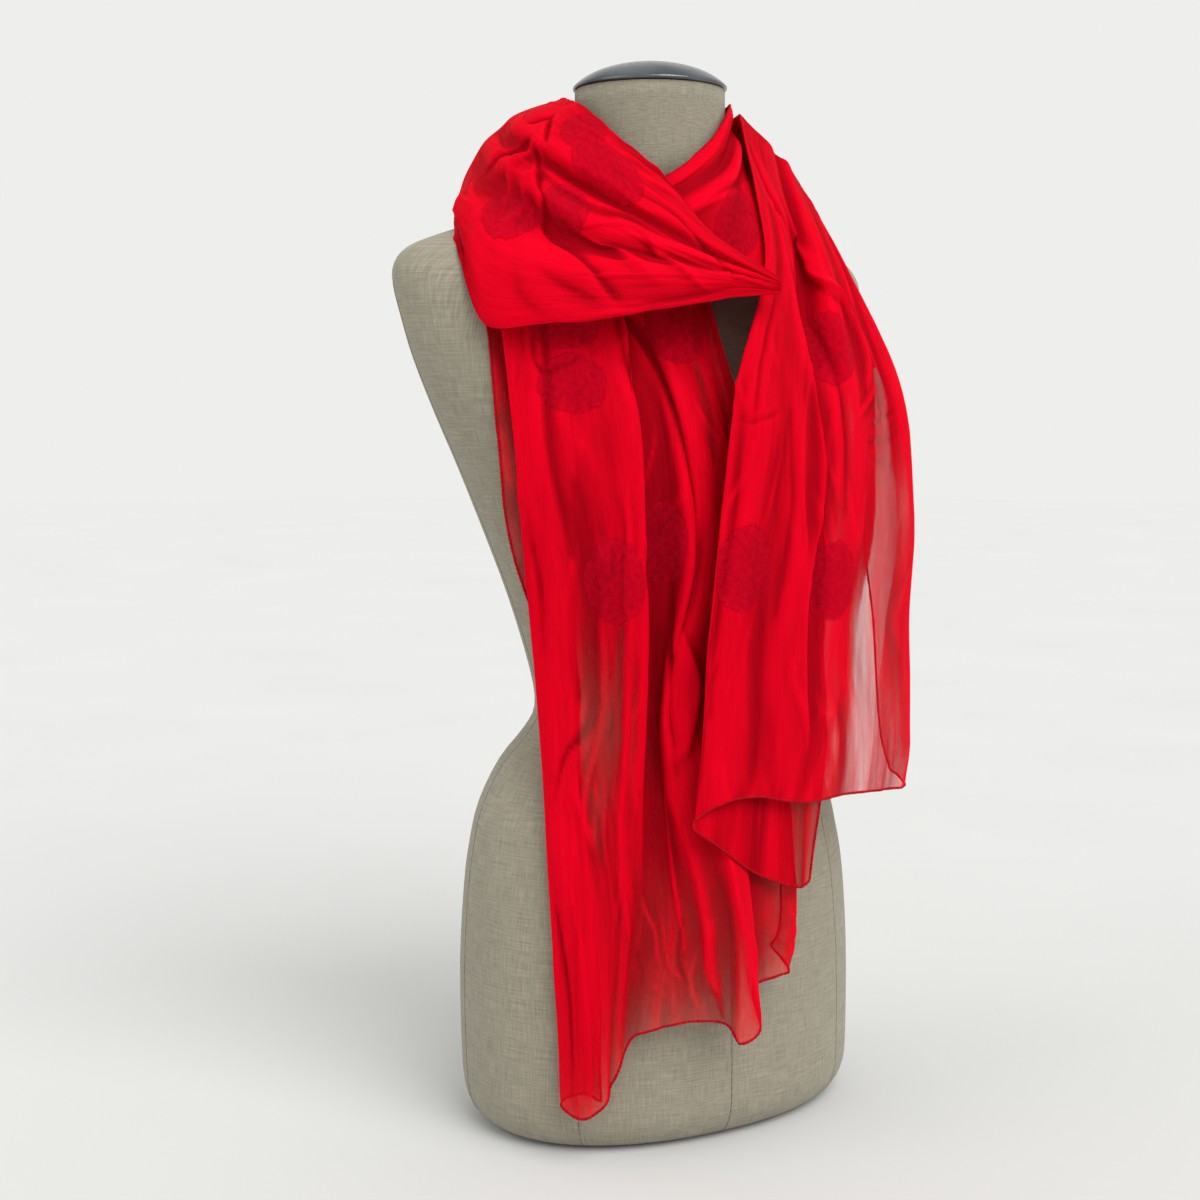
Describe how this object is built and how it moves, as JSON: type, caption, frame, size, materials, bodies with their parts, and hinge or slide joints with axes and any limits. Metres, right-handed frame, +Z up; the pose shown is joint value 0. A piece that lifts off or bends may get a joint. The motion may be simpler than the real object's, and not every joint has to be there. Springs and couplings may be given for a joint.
{
  "type": "felted scarf wound on a limbless dress form",
  "caption": "Sheer crinkled chiffon scarf with round felted spots and rolled hems, wound once round the neck of a limbless linen dress form with a metal neck cap.",
  "frame": {"origin": "middle of the flat base of the dress form, between its left and right sides", "axes": "+Z up along the form; the form's chest faces -Y; +X is to the right for someone facing the chest"},
  "size_m": [0.402, 0.2919, 0.8043],
  "materials": {
    "chiffon": "sheer crinkled silk chiffon, bright red",
    "felt": "matt felted wool, crimson",
    "linen": "natural linen, plain weave with slubs",
    "cap_metal": "dark polished metal"
  },
  "bodies": {
    "root": {"form_body": "linen", "neck_cap": "cap_metal", "tail_long": "chiffon", "tail_short": "chiffon", "cowl_front": "chiffon", "wrap_outer": "chiffon", "wrap_inner": "chiffon", "felt_dot_01": "felt", "felt_dot_02": "felt", "felt_dot_03": "felt", "felt_dot_04": "felt", "felt_dot_05": "felt", "felt_dot_06": "felt", "felt_dot_07": "felt", "felt_dot_08": "felt", "felt_dot_09": "felt", "felt_dot_10": "felt", "felt_dot_11": "felt", "felt_dot_12": "felt", "felt_dot_13": "felt", "felt_dot_14": "felt", "felt_dot_15": "felt", "felt_dot_16": "felt"}
  },
  "joints": []
}
